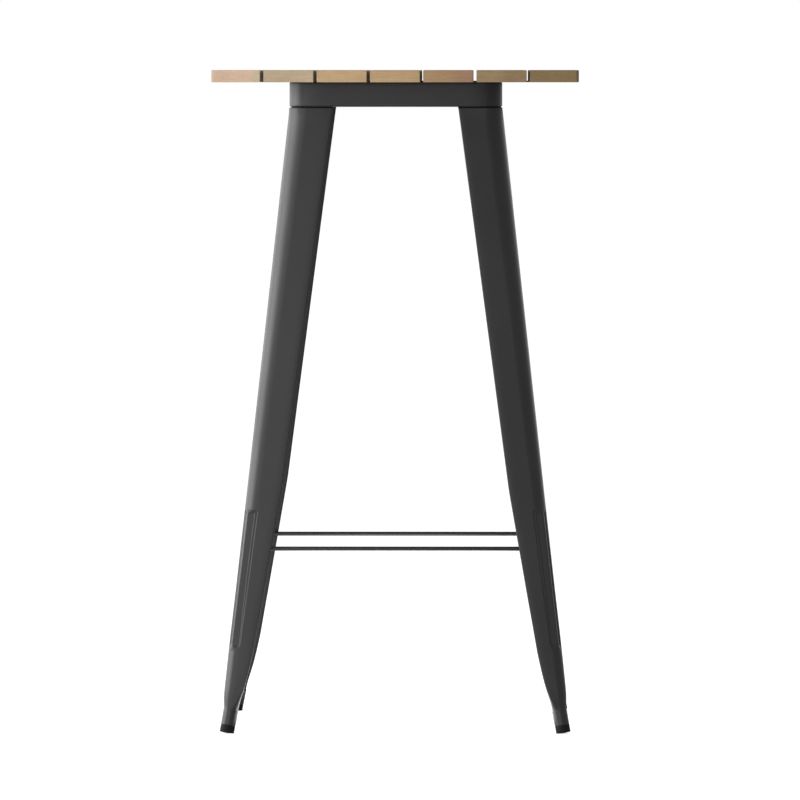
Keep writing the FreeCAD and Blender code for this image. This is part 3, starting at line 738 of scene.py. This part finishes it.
# %% Ferrules
mouth_height, mouth_half_span = 38.0, 277.9
foot_centre = -(mouth_half_span - lean * mouth_height)
foot_base = np.array([foot_centre, foot_centre, mouth_height])
ferrule_profile = np.concatenate([
    arc_points((11.9, 0.45), 0.45, 180, 360, 9),
    [(12.33, 2.0), (12.15, 13.0), (11.95, 25.0)],
    arc_points((11.5, 25.8), 0.4, 0, 180, 7),
    [(10.95, 23.0), (11.2, 13.0), (11.42, 1.2)]])
ferrule_points = turned(ferrule_profile, foot_base, -foot_axis).reshape(-1, 3)
ferrule_faces = grid_faces(len(ferrule_profile), 64, close_rows=True)
for corner, points in zip(corners, quarter_turns(ferrule_points)):
    make_piece("ferrule_ring_" + corner, points, ferrule_faces, steel_coat,
               ["ferrule_" + corner])

# %% [markdown]
# The cap is a plug pushed into the ferrule. Its visible part is as wide as the ferrule,
# with a small rounded rim, and it is trimmed flat where it stands on the floor, which
# is done by lifting every point below the floor to it.

# %% Foot caps
cap_end = 37.2
cap_profile = np.concatenate([
    [(0.0, 13.4), (10.0, 13.4)], arc_points((10.0, 14.2), 0.8, -90, 0, 5),
    [(10.8, 26.1), (11.3, 26.25), (11.75, 26.35), (11.9, 26.7), (11.95, 31.0)],
    arc_points((11.5, cap_end - 0.45), 0.45, 0, 90, 8), [(8.0, cap_end), (0.0, cap_end)]])
cap_points = turned(cap_profile, foot_base, -foot_axis).reshape(-1, 3)
cap_points[:, 2] = np.maximum(cap_points[:, 2], 0.0)
for corner, points in zip(corners, quarter_turns(cap_points)):
    make_piece("foot_plug_" + corner, points, grid_faces(len(cap_profile), 64), foot_black,
               ["foot_cap_" + corner])

# %% [markdown]
# ## The four rods
# The stretchers are round rods between the legs, coated with the stand. Their ends are
# slightly rounded, as a sheared and coated rod is, and stop just short of the bowed
# flanges. A cylinder with a bevel would do too. The spun profile needs no modifier, and
# its length comes from the construction model's own box.

# %% Stretcher rods
rod_radius, rod_rim, rod_trim, rod_lift = 3.52, 0.4, 0.8, 0.7


def rod_profile(length):
    """The profile of a rod with rounded rims, from one end's middle to the other's."""
    rim = arc_points((rod_radius - rod_rim, rod_rim), rod_rim, -90, 0, 4)
    far = np.stack([rim[::-1, 0], length - rim[::-1, 1]], -1)
    return np.concatenate([[(0.0, 0.0)], rim, far, [(0.0, length)]])


for side, axis in (("front", 0), ("back", 0), ("left", 1), ("right", 1)):
    low, high = (np.array(corner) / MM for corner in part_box("stretcher_" + side))
    base = (low + high) / 2
    base[axis] = low[axis] + rod_trim
    base[2] += rod_lift
    profile = rod_profile(high[axis] - low[axis] - 2 * rod_trim)
    make_piece("rod_" + side, turned(profile, base, np.eye(3)[axis], 32).reshape(-1, 3),
               grid_faces(len(profile), 32), steel_coat, ["stretcher_" + side])

# %% [markdown]
# ## Fasteners
# The bolts and nuts are hexagons whose points are turned off at 30 degrees, so their
# outline is a hexagon in plan and a cone at its corners. A Boolean could cut each one with
# a cone, but one formula gives all the points at once. The distance from the axis to the
# flat at angle a is F / cos(a'), with a' the angle from the middle of that flat, and the
# cone lowers each place by its distance beyond the chamfer circle times tan(30 degrees).

# %% Hexagon pieces
upright = (0.0, 0.0, 1.0)


def hexagon_piece(flats, low, high, bore, place):
    """Rings of a hexagon, chamfered at both ends, about an upright line at place (x, y)."""
    angle = np.linspace(0, 2 * math.pi, 48, endpoint=False)
    local = (angle + math.pi / 6) % (math.pi / 3) - math.pi / 6
    reach = flats / 2 / np.cos(local)
    disc = flats / 2 * 0.96
    drop = (reach - disc) * math.tan(math.radians(30))
    rows = ((bore, low), (disc, low), (reach, low + drop),
            (reach, high - drop), (disc, high), (bore, high))
    return np.stack([np.stack([place[0] + r * np.cos(angle), place[1] + r * np.sin(angle),
                               np.broadcast_to(z, angle.shape)], -1) for r, z in rows])


def gather(grids, closed):
    """Several grids as one set of points and faces."""
    points, faces, start = [], [], 0
    for grid in grids:
        rows, columns = grid.shape[:2]
        points.append(grid.reshape(-1, 3))
        faces.append(grid_faces(rows, columns, start, close_rows=closed))
        start += rows * columns
    return np.concatenate(points), np.concatenate(faces)


# %% [markdown]
# Two bolts hold each leg up to its gusset: the head and its washer press on the leg's tab
# from below, and the nut is welded on top of the gusset. Identical fasteners are one
# piece, as their node in the construction model is.

# %% Leg bolts, nuts and washers
near, far = 18.0 - 172.4, 36.0 - 172.4
bolt_places = ((near, far), (far, near))
head_low, head_high, bolt_top = 1048.1, 1053.4, 1069.0
washer_high, nut_low, nut_high = 1055.0, 1061.0, 1067.5
shank_profile = ((0.0, head_high - 0.4), (4.0, head_high - 0.4), (4.0, bolt_top - 0.8),
                 (3.2, bolt_top), (0.0, bolt_top))
washer_profile = ((4.4, head_high), (4.4, washer_high), (7.8, washer_high),
                  (8.0, washer_high - 0.2), (8.0, head_high + 0.2), (7.8, head_high))
bolts, nuts, washers = [], [], []
for x, y in bolt_places:
    bolts += [hexagon_piece(13.0, head_low, head_high, 0.0, (x, y)),
              turned(shank_profile, (x, y, 0.0), upright, 32)]
    nuts.append(hexagon_piece(13.0, nut_low, nut_high, 4.02, (x, y)))
    washers.append(turned(washer_profile, (x, y, 0.0), upright, 40))
for kind, grids, closed in (("bolt", bolts, False), ("nut", nuts, True),
                            ("washer", washers, True)):
    points, faces = gather(grids, closed)
    every = np.concatenate([faces + index * len(points) for index in range(4)])
    make_piece("leg_%s_set" % kind, np.concatenate(quarter_turns(points)), every, zinc,
               ["leg_%ss" % kind], sharp=25)

# %% [markdown]
# The slat screws are countersunk flush into the battens and have a cross recess. A cut
# with a Boolean would leave slivers in the thin head. On a polar grid the head is a flat
# disc instead, and two crossed slots are sunk into its middle.

# %% Slat screws
slat_bottom, batten_y = 1073.0, (-130.0, 130.0)
slat_pitch, screw_spread = 87.5, 24.0


def screw_head(x, y, face):
    """A flush head that looks down at z = face, with its shank above. A ring turned about
    +Z starts at -X, so the shank's rings are rolled by half a turn to meet the disc's."""
    radius = np.concatenate([[0.0], np.linspace(0.3, 2.4, 10), [3.2, 3.9]])[:, None]
    angle = np.linspace(0, 2 * math.pi, 48, endpoint=False)
    east, north = radius * np.cos(angle), radius * np.sin(angle)
    across = np.minimum(np.abs(east), np.abs(north))
    slot = (1 - smooth_step((across - 0.35) / 0.25)) * (1 - smooth_step((radius - 1.8) / 0.5))
    disc = np.stack([x + east, y + north, face + 1.3 * slot], -1)
    shank = turned(((3.97, face + 0.08), (2.0, face + 1.85), (2.0, face + 12.0),
                    (0.5, face + 14.9), (0.0, face + 14.9)), (x, y, 0.0), upright, 48)
    return np.concatenate([disc, np.roll(shank, 24, axis=1)])


screw_x = [(index - 3) * slat_pitch + side * screw_spread
           for index in range(len(slat_tones)) for side in (-1, 1)]
points, faces = gather([screw_head(x, y, slat_bottom) for y in batten_y for x in screw_x], False)
make_piece("slat_screw_set", points, faces, zinc, ["slat_screws"])

# %% [markdown]
# Four more countersunk screws go down through the battens and the apron's flange into
# nuts. The slats hide their heads, so these are plain cones.

# %% Batten screws
flange_screw_x = 166.7
screw_profile = ((0.0, 1063.0), (2.1, 1063.0), (2.5, 1063.4), (2.5, 1073.1), (4.4, 1075.0),
                 (0.0, 1075.0))
places = [(x, y) for y in batten_y for x in (-flange_screw_x, flange_screw_x)]
points, faces = gather([turned(screw_profile, (x, y, 0.0), upright, 32) for x, y in places], False)
make_piece("batten_screw_set", points, faces, zinc, ["batten_screws"])
points, faces = gather([hexagon_piece(8.0, 1066.8, 1071.5, 2.52, place) for place in places], True)
make_piece("batten_nut_set", points, faces, zinc, ["batten_nuts"], sharp=25)

# %% [markdown]
# ## A plain studio
# A large soft box far out on the left and a smaller one in front give an even light. White
# panels on the left, behind, above and on the floor are seen only in the sheen of the
# coat, where they draw the long light edges. Keeping the two apart lets each be set alone.

# %% Lights
def soft_box(name, place, aim, size, power):
    """A rectangular light that the camera doesn't see."""
    light = bpy.data.lights.new(name, "AREA")
    light.shape, light.size, light.size_y = "RECTANGLE", size[0], size[1]
    light.energy = power
    lamp = bpy.data.objects.new(name, light)
    lamp.location = place
    lamp.rotation_euler = (Vector(aim) - Vector(place)).to_track_quat("-Z", "Y").to_euler()
    lamp.visible_camera = False
    bpy.context.scene.collection.objects.link(lamp)
    return lamp


soft_box("left_box", (-4.5, -0.6, 1.2), (0.0, -0.2, 1.0), (3.5, 2.4), 180.0)
soft_box("front_box", (-1.5, -5.0, 0.9), (0.0, -0.2, 0.7), (2.0, 1.5), 64.0)
sheens = (
    soft_box("left_sheen", (-2.4, 0.9, 1.35), (0.0, 0.9, 1.35), (5.6, 2.7), 130.0),
    soft_box("back_sheen", (0.0, 5.0, 1.6), (0.0, 0.0, 1.0), (14.0, 3.2), 50.0),
    soft_box("front_floor_sheen", (-0.57, -0.57, 0.01), (-0.57, -0.57, 1.0), (0.64, 0.46), 2.2),
    soft_box("upper_sheen", (-1.25, -1.45, 1.25), (-0.28, -0.28, 0.15), (0.7, 0.5), 5.0),
    soft_box("middle_floor_sheen", (0.0, 0.0, 0.01), (0.0, 0.0, 1.0), (0.42, 0.6), 5.0),
)
for sheen in sheens:
    sheen.visible_diffuse = False
print("lights:", 2 + len(sheens))

# %% [markdown]
# The world lights the table a little from all sides, and only the camera sees it as full
# white: a Light Path node tells the camera's rays from the others. The pale floor glows
# for the camera in the same way, so that it runs into the white and keeps a faint shadow.

# %% World and floor
scene = bpy.context.scene
scene.view_settings.view_transform = "Standard"
world = bpy.data.worlds.new("studio")
world.use_nodes = True
scene.world = world
sky = world.node_tree.nodes["Background"]
path = world.node_tree.nodes.new("ShaderNodeLightPath")
level = world.node_tree.nodes.new("ShaderNodeMapRange")
level.inputs["To Min"].default_value = 0.64
level.inputs["To Max"].default_value = 1.0
world.node_tree.links.new(path.outputs["Is Camera Ray"], level.inputs["Value"])
world.node_tree.links.new(level.outputs["Result"], sky.inputs["Strength"])
sky.inputs["Color"].default_value = (1, 1, 1, 1)

floor_half = 60.0
floor_mesh = bpy.data.meshes.new("floor")
floor_mesh.from_pydata([(-floor_half, -floor_half, 0), (floor_half, -floor_half, 0),
                        (floor_half, floor_half, 0), (-floor_half, floor_half, 0)],
                       [], [(0, 1, 2, 3)])
floor = bpy.data.objects.new("floor", floor_mesh)
scene.collection.objects.link(floor)
finish = Finish("pale_floor")
finish.shader.inputs["Base Color"].default_value = (0.7, 0.7, 0.7, 1)
finish.shader.inputs["Roughness"].default_value = 0.9
finish.shader.inputs["Emission Color"].default_value = (1, 1, 1, 1)
eye = finish.add("ShaderNodeLightPath").outputs["Is Camera Ray"]
finish.put(finish.shader.inputs["Emission Strength"], finish.sum(eye, 0.62, "MULTIPLY"))
floor_mesh.materials.append(finish.done())

# %% [markdown]
# ## The camera
# The photograph was taken from far away with a long lens, almost level with the top. A
# long lens flattens the table, so the back legs stand nearly behind the front ones.

# %% Camera
lens = bpy.data.cameras.new("camera")
lens.lens, lens.sensor_width = 420.684, 36.0
lens.clip_end = 200.0
camera = bpy.data.objects.new("camera", lens)
camera.location = (0.1363, -15.6572, 1.09965)
camera.rotation_euler = (math.radians(90.0 - 2.04569), 0.0, math.radians(0.47771))
scene.collection.objects.link(camera)
scene.camera = camera
print("camera", round(-camera.location.y, 1), "m in front of the table")
